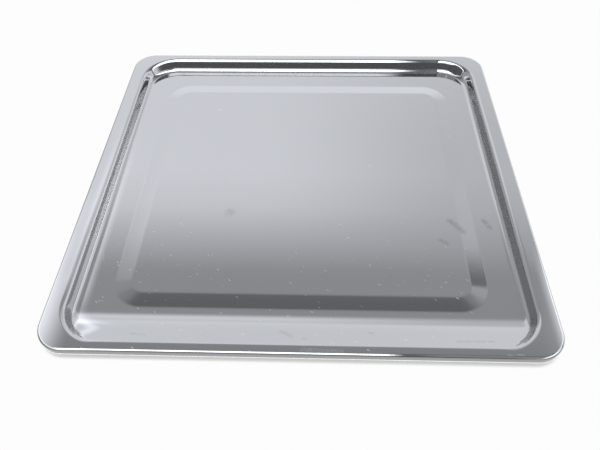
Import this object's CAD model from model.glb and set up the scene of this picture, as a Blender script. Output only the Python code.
import math

import bmesh
import bpy
from mathutils import Matrix, Vector


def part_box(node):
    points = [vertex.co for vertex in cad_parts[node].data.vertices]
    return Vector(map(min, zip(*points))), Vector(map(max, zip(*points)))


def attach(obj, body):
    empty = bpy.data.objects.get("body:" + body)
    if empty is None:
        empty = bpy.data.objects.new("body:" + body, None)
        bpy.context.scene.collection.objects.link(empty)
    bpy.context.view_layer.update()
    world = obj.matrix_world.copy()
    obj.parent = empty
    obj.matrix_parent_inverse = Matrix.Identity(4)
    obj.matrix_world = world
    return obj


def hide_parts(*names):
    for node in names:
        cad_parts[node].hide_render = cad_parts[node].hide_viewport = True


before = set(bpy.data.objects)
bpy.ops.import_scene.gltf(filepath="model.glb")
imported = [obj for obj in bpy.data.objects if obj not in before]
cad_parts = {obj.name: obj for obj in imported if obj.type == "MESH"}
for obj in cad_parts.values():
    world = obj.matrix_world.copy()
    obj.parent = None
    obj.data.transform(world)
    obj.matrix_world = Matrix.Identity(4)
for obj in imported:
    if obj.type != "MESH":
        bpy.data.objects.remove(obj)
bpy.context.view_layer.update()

# Oven baking tray: one pressed steel sheet under glossy black enamel.
# Metres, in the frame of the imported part: X across the oven, -Y to the door, +Z up.

scene = bpy.context.scene
scene.view_settings.view_transform = "Standard"
mm = 0.001
trayLow, trayHigh = (Vector(corner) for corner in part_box("baking_tray"))


class Wire:  # one node socket, so that shader and field maths read as plain expressions
    def __init__(self, tree, socket=None):
        self.tree = tree
        self.socket = socket

    def node(self, kind, settings=None, values=None, output=0):
        made = self.tree.nodes.new(kind)
        for name, setting in (settings or {}).items():
            if name == "stops":
                fillRamp(made.color_ramp, setting)
            else:
                setattr(made, name, setting)
        for key, value in (values or {}).items():
            if isinstance(value, Wire):
                self.tree.links.new(value.socket, made.inputs[key])
            else:
                made.inputs[key].default_value = value
        return Wire(self.tree, made.outputs[output] if made.outputs else None)

    def maths(self, operation, *terms):
        return self.node("ShaderNodeMath", {"operation": operation}, dict(enumerate(terms)))

    def __add__(self, other):
        return self.maths("ADD", self, other)

    def __radd__(self, other):
        return self.maths("ADD", other, self)

    def __sub__(self, other):
        return self.maths("SUBTRACT", self, other)

    def __rsub__(self, other):
        return self.maths("SUBTRACT", other, self)

    def __mul__(self, other):
        return self.maths("MULTIPLY", self, other)

    def __rmul__(self, other):
        return self.maths("MULTIPLY", other, self)

    def __truediv__(self, other):
        return self.maths("DIVIDE", self, other)

    def __rtruediv__(self, other):
        return self.maths("DIVIDE", other, self)

    def __neg__(self):
        return self.maths("MULTIPLY", self, -1.0)

    def __abs__(self):
        return self.maths("ABSOLUTE", self)

    def atLeast(self, other):
        return self.maths("MAXIMUM", self, other)

    def atMost(self, other):
        return self.maths("MINIMUM", self, other)

    def clamp(self, low, high):
        return self.atLeast(low).atMost(high)

    def squared(self):
        return self.maths("MULTIPLY", self, self)

    def root(self):
        return self.maths("SQRT", self)

    def ease(self, start, end):  # smooth step from 0 at start to 1 at end
        return self.node("ShaderNodeMapRange", {"interpolation_type": "SMOOTHSTEP"}, {
            "Value": self, "From Min": start, "From Max": end})

    def band(self, rise, fall):  # 1 between a soft rise and a soft fall
        return self.ease(*rise) * (1 - self.ease(*fall))

    def split(self):
        parts = self.node("ShaderNodeSeparateXYZ", None, {0: self}).socket.node
        return [Wire(self.tree, output) for output in parts.outputs]

    def tone(self, share, first, second):  # colour between two, at the Mix node's colour sockets
        return self.node("ShaderNodeMix", {"data_type": "RGBA"}, {
            "Factor": share, 6: first, 7: second}, output=2)


def fillRamp(ramp, stops):
    while len(ramp.elements) < len(stops):
        ramp.elements.new(1.0)
    for element, (position, level) in zip(ramp.elements, stops):
        element.position = position
        element.color = (level, level, level, 1.0)


def newMaterial(name):
    material = bpy.data.materials.new(name)
    material.use_nodes = True
    material.node_tree.nodes.clear()
    return material, Wire(material.node_tree)


# Black vitreous enamel, with the dust, smudges and scuffs of a used tray
enamel = {
    "colour": (0.046, 0.047, 0.050, 1.0),
    "roughness": 0.05,
    "dulled": 0.4,  # roughness added where dust, scuffs or wear cover the gloss
    "ior": 2.3,  # dense, glassy coat
    "peelScale": 240.0,  # orange peel, about 4 mm from crest to crest
    "peelDetail": 1.0,
    "peelHeight": 0.002 * mm,
    "waveScale": 13.0,  # slow waves left by the press
    "waveDetail": 1.0,
    "waveHeight": 0.05 * mm,
    "grainScale": 420.0,  # breaks up the smudges and scuffs
    "grainDetail": 3.0,
    "grainFade": (0.36, 0.62),
    "grainLeast": 0.35,
    "facingUp": (0.0, 0.1),  # marks fade out where the surface turns to face down
    "dustColour": (0.62, 0.62, 0.60, 1.0),
    "dustLie": math.radians(-33.0),  # the way the streaks run
    "dustCell": (15.0 * mm, 2.6 * mm),  # along and across the streaks
    "dustSpread": (  # dusty places: middle and reach in mm, share of the cells with a streak
        (-118.0, -122.0, 95.0, 0.48), (20.0, -142.0, 120.0, 0.20), (110.0, -120.0, 70.0, 0.12)),
    "dustStray": 0.025,  # share everywhere else
    "dustEdge": 0.004,
    "dustWidth": (0.05, 0.11),  # least half width in the cell, and what chance adds
    "dustFade": (0.35, 1.0),
    "dustLevel": (0.1, 0.55),  # least cover, and what chance adds
    "filmColour": (0.075, 0.077, 0.082, 1.0),  # grease of the smudges
    "filmRoughness": 0.55,
    "filmIor": 1.3,
    "markCore": 0.1,  # share of a mark's half width at full strength
    "smudges": (  # greasy marks: start, end, half width in mm, strength
        (133, -53, 143, -65, 4.5, 0.36), (164, -51, 168, -60, 3.8, 0.32), (121, -75, 127, -79, 3.2, 0.30),
        (-67, -46, -66, -45, 7.0, 0.24), (-13, -171, -5, -176, 3.0, 0.16), (4, -179, 6, -179, 2.2, 0.16),
        (55, -171, 57, -171, 2.4, 0.14), (120, -178.8, 147, -178.4, 1.2, 0.22),
        (-128, -176, -116, -178, 2.0, 0.12)),
    "scuffs": (  # pale rubbed places on the rim, in the same way
        (4, -190, 33, -190.4, 2.6, 0.16), (52, -189, 53.5, -189.8, 0.8, 0.5),
        (154, -191, 157, -191.4, 0.9, 0.30), (160, -190.6, 166, -190.9, 0.9, 0.26)),
    "scuffColour": (0.42, 0.45, 0.54, 1.0),
    "edgeColour": (0.94, 0.94, 0.93, 1.0),  # enamel worn pale along the lip's lower edge
    "edgeReach": (-1.8 * mm, -1.3 * mm),
    "edgeHeight": 1.3 * mm,
    "edgeCore": 0.7,  # share of that height at full strength
}


def markCover(x, y, marks, core):  # soft strokes from one end to the other
    cover = None
    for startX, startY, endX, endY, half, strength in marks:
        runX = (endX - startX) * mm
        runY = (endY - startY) * mm
        pastX = x - startX * mm
        pastY = y - startY * mm
        along = ((pastX * runX + pastY * runY) / (runX ** 2 + runY ** 2)).clamp(0.0, 1.0)
        away = ((pastX - along * runX).squared() + (pastY - along * runY).squared()).root()
        stroke = strength * (1 - away.ease(core * half * mm, half * mm))
        cover = stroke if cover is None else cover.atLeast(stroke)
    return cover


def dustCover(wire, x, y, e):  # short streaks, thick in some places and scarce elsewhere
    cos = math.cos(e["dustLie"])
    sin = math.sin(e["dustLie"])
    along = (x * cos + y * sin) / e["dustCell"][0]
    across = (y * cos - x * sin) / e["dustCell"][1]
    spot = wire.node("ShaderNodeCombineXYZ", None, {"X": along, "Y": across})
    cells = wire.node("ShaderNodeTexVoronoi", {"voronoi_dimensions": "2D"}, {"Vector": spot, "Scale": 1.0})
    chance, size, level = Wire(wire.tree, cells.socket.node.outputs["Color"]).split()
    spread = e["dustStray"]
    for centreX, centreY, reach, share in e["dustSpread"]:
        away = ((x - centreX * mm).squared() + (y - centreY * mm).squared()).root()
        spread = spread + share * (1 - away.ease(0.0, reach * mm))
    present = 1 - (chance - spread).ease(-e["dustEdge"], e["dustEdge"])
    width = e["dustWidth"][0] + e["dustWidth"][1] * size
    streak = 1 - (cells / width).ease(*e["dustFade"])
    return streak * present * (e["dustLevel"][0] + e["dustLevel"][1] * level.squared())


def makeEnamel(e):
    material, wire = newMaterial("blackEnamel")
    place = wire.node("ShaderNodeTexCoord", output="Object")
    x, y, z = place.split()
    peel, wave, grain = (wire.node("ShaderNodeTexNoise", None, {
        "Vector": place, "Scale": e[name + "Scale"], "Detail": e[name + "Detail"]})
        for name in ("peel", "wave", "grain"))
    height = peel * e["peelHeight"] + wave * e["waveHeight"]
    bump = wire.node("ShaderNodeBump", None, {"Height": height, "Distance": 1.0, "Strength": 1.0})
    facing = wire.node("ShaderNodeNewGeometry", output="Normal").split()
    upper = facing[2].ease(*e["facingUp"])  # nothing lies on the underside
    patchy = e["grainLeast"] + (1 - e["grainLeast"]) * grain.ease(*e["grainFade"])
    dust = dustCover(wire, x, y, e) * upper
    scuff = markCover(x, y, e["scuffs"], e["markCore"]) * patchy * upper
    smudge = markCover(x, y, e["smudges"], e["markCore"]) * patchy * upper
    outer = roundedDistance(x, y, halfWidth, halfDepth, tray["outerRadius"]).ease(*e["edgeReach"])
    worn = outer * (1 - z.ease(lipLevel + e["edgeCore"] * e["edgeHeight"], lipLevel + e["edgeHeight"]))
    colour = e["colour"]
    for cover, tone in ((dust, "dustColour"), (scuff, "scuffColour"), (worn, "edgeColour")):
        colour = wire.tone(cover, colour, e[tone])
    dull = e["roughness"] + e["dulled"] * (dust + scuff + worn).atMost(1.0)
    coat = wire.node("ShaderNodeBsdfPrincipled", None, {
        "Base Color": colour, "Roughness": dull, "IOR": e["ior"], "Normal": bump})
    film = wire.node("ShaderNodeBsdfPrincipled", None, {
        "Base Color": e["filmColour"], "Roughness": e["filmRoughness"], "IOR": e["filmIor"],
        "Normal": bump})
    surface = wire.node("ShaderNodeMixShader", None, {0: smudge, 1: coat, 2: film})
    wire.node("ShaderNodeOutputMaterial", None, {"Surface": surface})
    return material


# Tray shell: a flat blank of rings, pressed by a node tree, then given the sheet's thickness
tray = {
    "sheet": 1.0 * mm,
    "outerRadius": 23.0 * mm,
    "lipHeight": 6.5 * mm,
    "lipBend": 2.2 * mm,
    "sideRim": 14.9 * mm,
    "backRim": 10.3 * mm,
    "frontRim": 8.0 * mm,
    "openingRadius": 35.0 * mm,
    "wallDraft": math.radians(25.0),
    "rimBend": 4.5 * mm,
    "footRadius": 6.0 * mm,
    "rampRun": 25.4 * mm,
    "rampTopBlend": 0.5 * mm,
    "rampFootBlend": 5.5 * mm,
    "rampWallBlend": 8.0 * mm,
    "blendRoom": 2.0,  # a blend reaches at most this many times the height left under the rim
    "sideChannel": 25.2 * mm,
    "backChannel": 29.1 * mm,
    "frontChannel": 12.3 * mm,
    "panelStep": 14.0 * mm,
    "panelRise": 1.3 * mm,
    "panelRadius": 26.0 * mm,
    "panelBlend": 1.6 * mm,  # half width of the soft bends at the panel's foot and edge
    "edgeBevel": 0.35 * mm,
    "edgeSegments": 3,
    "edgeAngle": math.radians(60.0),  # only the lip's sharp lower edge turns more than this
    "guard": 0.3 * mm,  # a ring this close to each bend keeps the flats flat
    "cornerSteps": 20,
    "sideSteps": 44,
    "sideBunch": 0.11,  # draws the side's points towards the corners
    "lipSteps": 8,
    "rimSteps": 12,
    "wallSteps": 8,
    "footSteps": 14,
    "channelSteps": 28,
    "panelSteps": 6,
}

halfWidth = (trayHigh.x - trayLow.x) / 2
halfDepth = (trayHigh.y - trayLow.y) / 2
rimLevel = trayHigh.z
lipLevel = rimLevel - tray["lipHeight"]
floorLevel = trayLow.z + tray["sheet"]
dishDepth = rimLevel - floorLevel
openHalfWidth = halfWidth - tray["sideRim"]
openHalfDepth = halfDepth - (tray["backRim"] + tray["frontRim"]) / 2
openMiddle = (tray["frontRim"] - tray["backRim"]) / 2
bendTurn = math.pi / 2 - tray["wallDraft"]
rimTangent = tray["rimBend"] * math.tan(bendTurn / 2)
footTangent = tray["footRadius"] * math.tan(bendTurn / 2)
wallInset = dishDepth * math.tan(tray["wallDraft"])
wallTop = rimTangent * math.sin(tray["wallDraft"])
wallFoot = wallInset - footTangent * math.sin(tray["wallDraft"])
footEnd = wallInset + footTangent
rampSlope = dishDepth / tray["rampRun"]
panelHalfWidth = openHalfWidth - wallInset - tray["sideChannel"]
panelBack = openMiddle + openHalfDepth - wallInset - tray["backChannel"]
panelFront = openMiddle - openHalfDepth + tray["rampRun"] + tray["frontChannel"]
panelMiddle = (panelBack + panelFront) / 2
panelHalfDepth = (panelBack - panelFront) / 2


def outline(halfX, halfY, radius, middleY=0.0):
    corners = ((1, 1), (-1, 1), (-1, -1), (1, -1))
    arcs = []
    for turn, (signX, signY) in enumerate(corners):
        centre = Vector((signX * (halfX - radius), middleY + signY * (halfY - radius)))
        arc = []
        for step in range(tray["cornerSteps"] + 1):
            angle = math.pi / 2 * (turn + step / tray["cornerSteps"])
            arc.append(centre + radius * Vector((math.cos(angle), math.sin(angle))))
        arcs.append(arc)
    points = []
    for arc, after in zip(arcs, arcs[1:] + arcs[:1]):
        points += arc
        for step in range(1, tray["sideSteps"]):
            share = step / tray["sideSteps"]
            share -= tray["sideBunch"] * math.sin(2 * math.pi * share)
            points.append(arc[-1].lerp(after[0], share))
    return points


def trayOutline(inset):
    return outline(halfWidth - inset, halfDepth - inset, tray["outerRadius"] - inset)


def openingOutline(inset):
    return outline(openHalfWidth - inset, openHalfDepth - inset, tray["openingRadius"] - inset, openMiddle)


def panelOutline(inset):
    return outline(panelHalfWidth - inset, panelHalfDepth - inset, tray["panelRadius"] - inset, panelMiddle)


def shares(steps):  # from 0 to 1
    return [step / steps for step in range(steps + 1)]


def blankRings():
    guard = tray["guard"]
    bend = tray["lipBend"]
    rings = [(trayOutline(0.0), lipLevel), (trayOutline(0.0), (lipLevel + rimLevel - bend) / 2)]
    for share in shares(tray["lipSteps"]):
        angle = math.pi / 2 * share
        inset = bend * (1 - math.cos(angle))
        rings.append((trayOutline(inset), rimLevel - bend + bend * math.sin(angle)))
    plans = [trayOutline(bend + guard), openingOutline(-rimTangent - guard)]
    for share in shares(tray["rimSteps"]):
        plans.append(openingOutline(-rimTangent + tray["rimBend"] * math.sin(bendTurn * share)))
    for share in shares(tray["wallSteps"])[1:-1]:
        plans.append(openingOutline(wallTop + (wallFoot - wallTop) * share))
    for share in shares(tray["footSteps"]):
        plans.append(openingOutline(footEnd - tray["footRadius"] * math.sin(bendTurn * (1 - share))))
    blend = tray["panelBlend"]
    channelStart = openingOutline(footEnd + guard)
    channelEnd = panelOutline(-blend - guard)
    for share in shares(tray["channelSteps"]):
        plans.append([start.lerp(end, share) for start, end in zip(channelStart, channelEnd)])
    for middle in (0.0, tray["panelStep"]):
        for share in shares(tray["panelSteps"]):
            plans.append(panelOutline(middle + blend * (2 * share - 1)))
        plans.append(panelOutline(middle + blend + guard))
    return rings + [(plan, rimLevel) for plan in plans]


def fillPlateau(mesh, ring):  # a grid of quads inside the last ring
    count = len(ring) // 4
    first = tray["cornerSteps"] // 2
    sides = []
    for turn in range(4):
        start = first + turn * count
        sides.append([ring[(start + step) % len(ring)] for step in range(count + 1)])
    south, west, north, east = sides[0], sides[1], sides[2][::-1], sides[3][::-1]
    grid = [[None] * (count + 1) for row in range(count + 1)]
    for i in range(count + 1):
        grid[i][0] = south[i]
        grid[i][count] = north[i]
        grid[count][i] = west[i]
        grid[0][i] = east[i]
    for i in range(1, count):
        for j in range(1, count):
            u = i / count
            v = j / count
            ruled = south[i].co * (1 - v) + north[i].co * v + east[j].co * (1 - u) + west[j].co * u
            low = south[0].co * (1 - u) + south[count].co * u
            high = north[0].co * (1 - u) + north[count].co * u
            grid[i][j] = mesh.verts.new(ruled - low * (1 - v) - high * v)
    for i in range(count):
        for j in range(count):
            mesh.faces.new((grid[i][j], grid[i + 1][j], grid[i + 1][j + 1], grid[i][j + 1]))


def makeBlank():
    mesh = bmesh.new()
    rows = []
    for plan, level in blankRings():
        rows.append([mesh.verts.new((point.x, point.y, level)) for point in plan])
    for outer, inner in zip(rows, rows[1:]):
        for k in range(len(outer)):
            after = (k + 1) % len(outer)
            mesh.faces.new((outer[k], outer[after], inner[after], inner[k]))
    fillPlateau(mesh, rows[-1])
    bmesh.ops.recalc_face_normals(mesh, faces=mesh.faces)
    if max(mesh.faces, key=lambda face: face.calc_area()).normal.z < 0:
        bmesh.ops.reverse_faces(mesh, faces=mesh.faces)
    data = bpy.data.meshes.new("trayShell")
    mesh.to_mesh(data)
    mesh.free()
    data.shade_smooth()
    return data


def roundedDistance(x, y, halfX, halfY, radius):  # below zero inside the rounded rectangle
    pastX = abs(x) - (halfX - radius)
    pastY = abs(y) - (halfY - radius)
    outside = (pastX.atLeast(0.0).squared() + pastY.atLeast(0.0).squared()).root()
    return outside + pastX.atLeast(pastY).atMost(0.0) - radius


def pressedHeight(x, y, size):  # height of the upper face over any point of the plan
    openY = y - size["Opening middle"]
    inward = -roundedDistance(x, openY, size["Opening half width"], size["Opening half depth"],
                              size["Opening radius"])
    rimArc = (inward + rimTangent).clamp(0.0, rimTangent + wallTop)
    bend = (tray["rimBend"] ** 2 - rimArc.squared()).root() - tray["rimBend"]
    wall = (inward.clamp(wallTop, wallFoot) - wallTop) / math.tan(tray["wallDraft"])
    footReach = footEnd - wallFoot
    footArc = (footEnd - inward).clamp(0.0, footReach)
    footRise = (tray["footRadius"] ** 2 - footReach ** 2) ** 0.5
    foot = footRise - (tray["footRadius"] ** 2 - footArc.squared()).root()
    bowl = size["Rim level"] + bend - wall + foot
    slope = size["Rim level"] - (openY + size["Opening half depth"]) * size["Ramp slope"]
    ramp = slope.maths("SMOOTH_MIN", slope, size["Rim level"], tray["rampTopBlend"])
    rise = ((bowl - floorLevel) / tray["footRadius"]).clamp(0.0, 1.0)
    blend = tray["rampFootBlend"] + rise * (tray["rampWallBlend"] - tray["rampFootBlend"])
    room = (size["Rim level"] - bowl.atLeast(ramp)).atLeast(0.0) * tray["blendRoom"]
    dish = bowl.maths("SMOOTH_MAX", bowl, ramp, blend.atMost(room))
    step = -roundedDistance(x, y - size["Panel middle"], size["Panel half width"], size["Panel half depth"],
                            size["Panel radius"])
    climb = step * (size["Panel rise"] / tray["panelStep"])
    soft = tray["panelBlend"] * tray["panelRise"] / tray["panelStep"]
    climb = climb.maths("SMOOTH_MAX", climb, 0.0, soft)
    climb = climb.maths("SMOOTH_MIN", climb, size["Panel rise"], soft)
    return dish + climb


def makePress(material):
    tree = bpy.data.node_groups.new("pressTray", "GeometryNodeTree")
    tree.interface.new_socket("Blank", in_out="INPUT", socket_type="NodeSocketGeometry")
    tree.interface.new_socket("Shell", in_out="OUTPUT", socket_type="NodeSocketGeometry")
    sizes = {
        "Rim level": rimLevel, "Opening half width": openHalfWidth, "Opening half depth": openHalfDepth,
        "Opening middle": openMiddle, "Opening radius": tray["openingRadius"], "Ramp slope": rampSlope,
        "Panel half width": panelHalfWidth, "Panel half depth": panelHalfDepth,
        "Panel middle": panelMiddle, "Panel radius": tray["panelRadius"], "Panel rise": tray["panelRise"],
    }
    identifiers = {}
    for name in sizes:
        socket = tree.interface.new_socket(name, in_out="INPUT", socket_type="NodeSocketFloat")
        identifiers[name] = socket.identifier
    wire = Wire(tree)
    entry = wire.node("NodeGroupInput").socket.node
    size = {name: Wire(tree, entry.outputs[name]) for name in sizes}
    x, y, z = wire.node("GeometryNodeInputPosition").split()
    height = z + pressedHeight(x, y, size) - size["Rim level"]
    place = wire.node("ShaderNodeCombineXYZ", None, {"X": x, "Y": y, "Z": height})
    blank = Wire(tree, entry.outputs["Blank"])
    shell = wire.node("GeometryNodeSetPosition", None, {"Geometry": blank, "Position": place})
    shell = wire.node("GeometryNodeRealizeInstances", None, {"Geometry": shell})
    shell = wire.node("GeometryNodeSetMaterial", None, {"Geometry": shell, "Material": material})
    wire.node("NodeGroupOutput", None, {"Shell": shell})
    return tree, {identifiers[name]: value for name, value in sizes.items()}


def makeTray():
    material = makeEnamel(enamel)
    shell = bpy.data.objects.new("trayShell", makeBlank())
    scene.collection.objects.link(shell)
    tree, inputs = makePress(material)
    press = shell.modifiers.new("press", "NODES")
    press.node_group = tree
    for identifier, value in inputs.items():
        press[identifier] = value
    wall = shell.modifiers.new("sheet", "SOLIDIFY")
    wall.thickness = tray["sheet"]
    wall.offset = -1.0
    wall.use_even_offset = True
    wall.use_quality_normals = True
    edge = shell.modifiers.new("lipEdge", "BEVEL")
    edge.width = tray["edgeBevel"]
    edge.segments = tray["edgeSegments"]
    edge.limit_method = "ANGLE"
    edge.angle_limit = tray["edgeAngle"]
    bpy.context.view_layer.update()
    pressed = bpy.data.meshes.new_from_object(shell.evaluated_get(bpy.context.evaluated_depsgraph_get()))
    shell.modifiers.clear()
    shell.data = pressed
    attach(shell, "root")
    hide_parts("baking_tray")
    return shell


trayShell = makeTray()
print("tray pressed:", len(trayShell.data.polygons), "faces")

# Floor that the tray lies on
table = {
    "half": 4.0,
    "level": -0.05 * mm,  # a hair under the tray
    "colour": (0.96, 0.96, 0.96, 1.0),
    "glow": 0.3,  # share of its own white under the lip, where the shadow lies
    "shadow": (-1.6 * mm, 1.4 * mm),  # the white grows to full across the tray's outline
    "white": (0.98, 0.98, 0.98, 1.0),
    "sheen": (1.58, 1.58, 1.58, 1.0),  # the same white as the gloss shows it
}


def flatSheet(name, corners, material):
    data = bpy.data.meshes.new(name)
    data.from_pydata(corners, [], [(0, 1, 2, 3)])
    data.materials.append(material)
    sheet = bpy.data.objects.new(name, data)
    scene.collection.objects.link(sheet)
    return sheet


def makeFloor(t):
    material, wire = newMaterial("paleFloor")
    x, y, z = wire.node("ShaderNodeTexCoord", output="Object").split()
    matt = wire.node("ShaderNodeBsdfDiffuse", None, {"Color": t["colour"]})
    gloss = wire.node("ShaderNodeLightPath", output="Is Glossy Ray")
    tone = wire.tone(gloss, t["white"], t["sheen"])
    white = wire.node("ShaderNodeEmission", None, {"Color": tone, "Strength": 1.0})
    away = roundedDistance(x, y, halfWidth, halfDepth, tray["outerRadius"])
    share = t["glow"] + (1 - t["glow"]) * away.ease(*t["shadow"])
    top = wire.node("ShaderNodeMixShader", None, {0: share, 1: matt, 2: white})
    below = wire.node("ShaderNodeNewGeometry", output="Backfacing")
    clear = wire.node("ShaderNodeBsdfTransparent")
    surface = wire.node("ShaderNodeMixShader", None, {0: below, 1: top, 2: clear})  # clear from below
    wire.node("ShaderNodeOutputMaterial", None, {"Surface": surface})
    half = t["half"]
    plan = ((-half, -half), (half, -half), (half, half), (-half, half))
    floor = flatSheet("floor", [(cornerX, cornerY, t["level"]) for cornerX, cornerY in plan], material)


makeFloor(table)
print("floor laid")

# Studio: plain even light, with soft boxes that show only in the gloss.
# Angles go up from behind the tray, over it and down to the camera, as shares of that half turn.
# Sides run from -1 at the left to 1 at the right. A soft edge is a pair, and a band is two of them.
studio = {
    "plain": (1.0, 1.0, 1.0, 1.0),
    "tint": (0.97, 1.0, 1.065, 1.0),  # of what the gloss shows
    "dark": (0.0, 0.0, 0.0, 1.0),
    "bank": 3.6,  # brightest level of the bank behind the tray
    "bankLevels": (  # angle and level
        (0.0, 0.72), (0.06, 0.77), (0.15, 0.90), (0.19, 0.83), (0.245, 0.93), (0.265, 0.85), (0.30, 0.37),
        (0.33, 0.35), (0.343, 0.29), (0.358, 0.27), (0.374, 0.125), (0.60, 0.10), (1.0, 0.055)),
    "leftShade": 0.47,  # how far the bank fades out to the left
    "leftShadeSide": (-0.54, -0.38),
    "leftShadeTop": (0.27, 0.31),
    "rightDim": 0.28,  # and how far it dips to the right, before it rises again
    "rightDimSides": ((-0.12, 0.30), (0.46, 0.58)),
    "rightDimAngles": ((0.12, 0.24), (0.26, 0.31)),
    "rightLift": 1.0,  # low light far to the right
    "rightLiftSide": (0.6, 0.75),
    "rightLiftHeights": ((0.125, 0.155), (0.215, 0.25)),  # from 0 level to 1 straight up
    "rightLiftDrop": 0.5,  # loss towards its far end
    "rightLiftDropSide": (0.78, 0.88),
    "cornerSides": ((0.355, 0.39), (0.42, 0.445)),  # seen in the panel's near right corner
    "cornerShade": 0.65,  # a dark gap there
    "cornerShadeAngles": ((0.27, 0.293), (0.293, 0.30)),
    "cornerGlow": 0.3,  # a pale patch above the gap
    "cornerGlowAngles": ((0.30, 0.308), (0.35, 0.368)),
    "sideLamp": 2.0,  # soft lamp to the right of the camera
    "sideLampSide": (0.42, 0.56),
    "sideLampAngles": ((0.5, 0.56), (0.78, 0.84)),
    "strip": 16.0,  # brightest level of the strip lamp above the camera
    "stripLevels": (  # angle and level, bright along its middle
        (0.40, 0.0), (0.44, 0.2), (0.56, 0.24), (0.59, 1.0), (0.70, 1.0), (0.73, 0.24), (0.83, 0.2),
        (0.87, 0.0)),
    "stripSides": ((-0.62, -0.39), (0.11, 0.15)),
    "fill": 0.7,  # broad weak light at its right end
    "fillSide": (0.15, 0.22),
    "fillAngles": ((0.415, 0.455), (0.82, 0.87)),
}


def makeStudio(s):
    world = bpy.data.worlds.new("studio")
    world.use_nodes = True
    world.node_tree.nodes.clear()
    scene.world = world
    wire = Wire(world.node_tree)
    x, y, z = wire.node("ShaderNodeTexCoord", output="Generated").split()
    over = z.maths("ARCTAN2", z, y) / math.pi
    bank = wire.node("ShaderNodeValToRGB", {"stops": s["bankLevels"]}, {0: over})
    dim = s["rightDim"] * x.band(*s["rightDimSides"]) * over.band(*s["rightDimAngles"])
    kept = 1 - s["rightLiftDrop"] * x.ease(*s["rightLiftDropSide"])
    lift = s["rightLift"] * x.ease(*s["rightLiftSide"]) * kept * z.band(*s["rightLiftHeights"])
    leftward = (1 - x.ease(*s["leftShadeSide"])) * (1 - over.ease(*s["leftShadeTop"]))
    shade = s["cornerShade"] * over.band(*s["cornerShadeAngles"])
    glow = s["cornerGlow"] * over.band(*s["cornerGlowAngles"])
    level = bank * s["bank"] * (1 - dim + lift) * (1 - s["leftShade"] * leftward)
    level = level * (1 + x.band(*s["cornerSides"]) * (glow - shade))
    level = level + s["sideLamp"] * x.ease(*s["sideLampSide"]) * over.band(*s["sideLampAngles"])
    strip = wire.node("ShaderNodeValToRGB", {"stops": s["stripLevels"]}, {0: over})
    level = level + s["strip"] * strip * x.band(*s["stripSides"])
    level = level + s["fill"] * x.ease(*s["fillSide"]) * over.band(*s["fillAngles"])
    gloss = wire.node("ShaderNodeLightPath", output="Is Glossy Ray")
    strength = gloss * level + (1 - gloss)
    colour = wire.tone(gloss, s["plain"], s["tint"])
    light = wire.node("ShaderNodeBackground", None, {"Color": colour, "Strength": strength})
    wire.node("ShaderNodeOutputWorld", None, {"Surface": light})


makeStudio(studio)


def hangLight(material, wire, shows, strength, corners):  # seen only in the gloss
    colour = wire.tone(shows, studio["dark"], studio["tint"])
    light = wire.node("ShaderNodeEmission", None, {"Color": colour, "Strength": strength})
    clear = wire.node("ShaderNodeBsdfTransparent")
    added = wire.node("ShaderNodeAddShader", None, {0: clear, 1: light})  # what lies behind still shows
    wire.node("ShaderNodeOutputMaterial", None, {"Surface": added})
    sheet = flatSheet(material.name, corners, material)
    sheet.visible_camera = False
    sheet.visible_diffuse = False
    sheet.visible_shadow = False


# White cards low over the tray's sides, with soft edges: edge is the side nearest the tray's middle
cards = {
    "left": {"height": 0.06, "edge": (-0.195, -0.238), "hem": (-0.24, -0.31), "front": (-0.40, -0.39),
             "back": (-0.14, 0.05), "strength": 4.8},
    "right": {"height": 0.06, "edge": (0.2125, 0.2305), "hem": (0.24, 0.31), "front": (-0.40, -0.39),
              "back": (-0.10, -0.04), "strength": 4.2},
    "wall": {"height": 0.02, "edge": (-0.178, -0.187), "hem": (-0.189, -0.198), "front": (-0.150, -0.115),
             "back": (-0.06, 0.10), "strength": 1.2},
}


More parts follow.
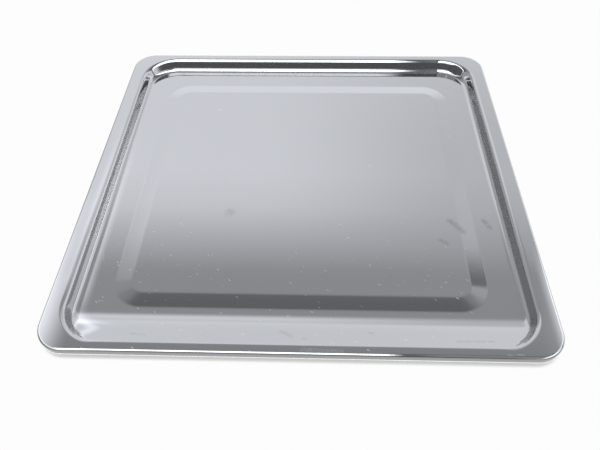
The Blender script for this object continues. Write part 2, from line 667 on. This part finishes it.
def makeCard(name, c):
    material, wire = newMaterial(name)
    x, y, z = wire.node("ShaderNodeTexCoord", output="Object").split()
    shows = x.band(c["edge"], c["hem"]) * y.band(c["front"], c["back"])
    left, right = sorted((c["edge"][0], c["hem"][1]))
    front = c["front"][0]
    back = c["back"][1]
    plan = ((left, front), (right, front), (right, back), (left, back))
    corners = [(cornerX, cornerY, c["height"]) for cornerX, cornerY in plan]
    hangLight(material, wire, shows, c["strength"], corners)


for side in cards:
    makeCard(side + "Card", cards[side])

# Upright card over the dish, white on the face that looks back at the far wall
screen = {
    "place": 0.165,
    "left": (-0.21, -0.18),
    "right": (0.10, 0.14),
    "foot": (0.02, 0.03),
    "top": (0.38, 0.40),
    "strength": 12.0,
}


def makeScreen(c):
    material, wire = newMaterial("screen")
    x, y, z = wire.node("ShaderNodeTexCoord", output="Object").split()
    rear = wire.node("ShaderNodeNewGeometry", output="Backfacing")
    shows = x.band(c["left"], c["right"]) * z.band(c["foot"], c["top"]) * (1 - rear)
    left = c["left"][0]
    right = c["right"][1]
    foot = c["foot"][0]
    top = c["top"][1]
    face = ((right, foot), (left, foot), (left, top), (right, top))
    corners = [(cornerX, c["place"], cornerZ) for cornerX, cornerZ in face]
    hangLight(material, wire, shows, c["strength"], corners)


makeScreen(screen)
print("studio lit")

# Camera at the photograph's place
view = {
    "place": (13.5 * mm, -394.2 * mm, 391.9 * mm),
    "down": math.radians(49.353),
    "yaw": math.radians(-2.578),
    "roll": math.radians(-1.234),
    "focal": 571.3 / 600,  # focal length as a share of the picture's width
    "sensor": 36.0,
}


def makeCamera(v):
    data = bpy.data.cameras.new("camera")
    data.sensor_width = v["sensor"]
    data.lens = v["focal"] * v["sensor"]
    camera = bpy.data.objects.new("camera", data)
    ahead = Vector((math.sin(v["yaw"]) * math.cos(v["down"]), math.cos(v["yaw"]) * math.cos(v["down"]),
                    -math.sin(v["down"])))
    level = Vector((math.cos(v["yaw"]), -math.sin(v["yaw"]), 0.0))
    above = level.cross(ahead)
    right = math.cos(v["roll"]) * level + math.sin(v["roll"]) * above
    up = -math.sin(v["roll"]) * level + math.cos(v["roll"]) * above
    axes = Matrix((right, up, -ahead)).transposed().to_4x4()
    camera.matrix_world = Matrix.Translation(v["place"]) @ axes
    scene.collection.objects.link(camera)
    scene.camera = camera


makeCamera(view)
print("camera set")
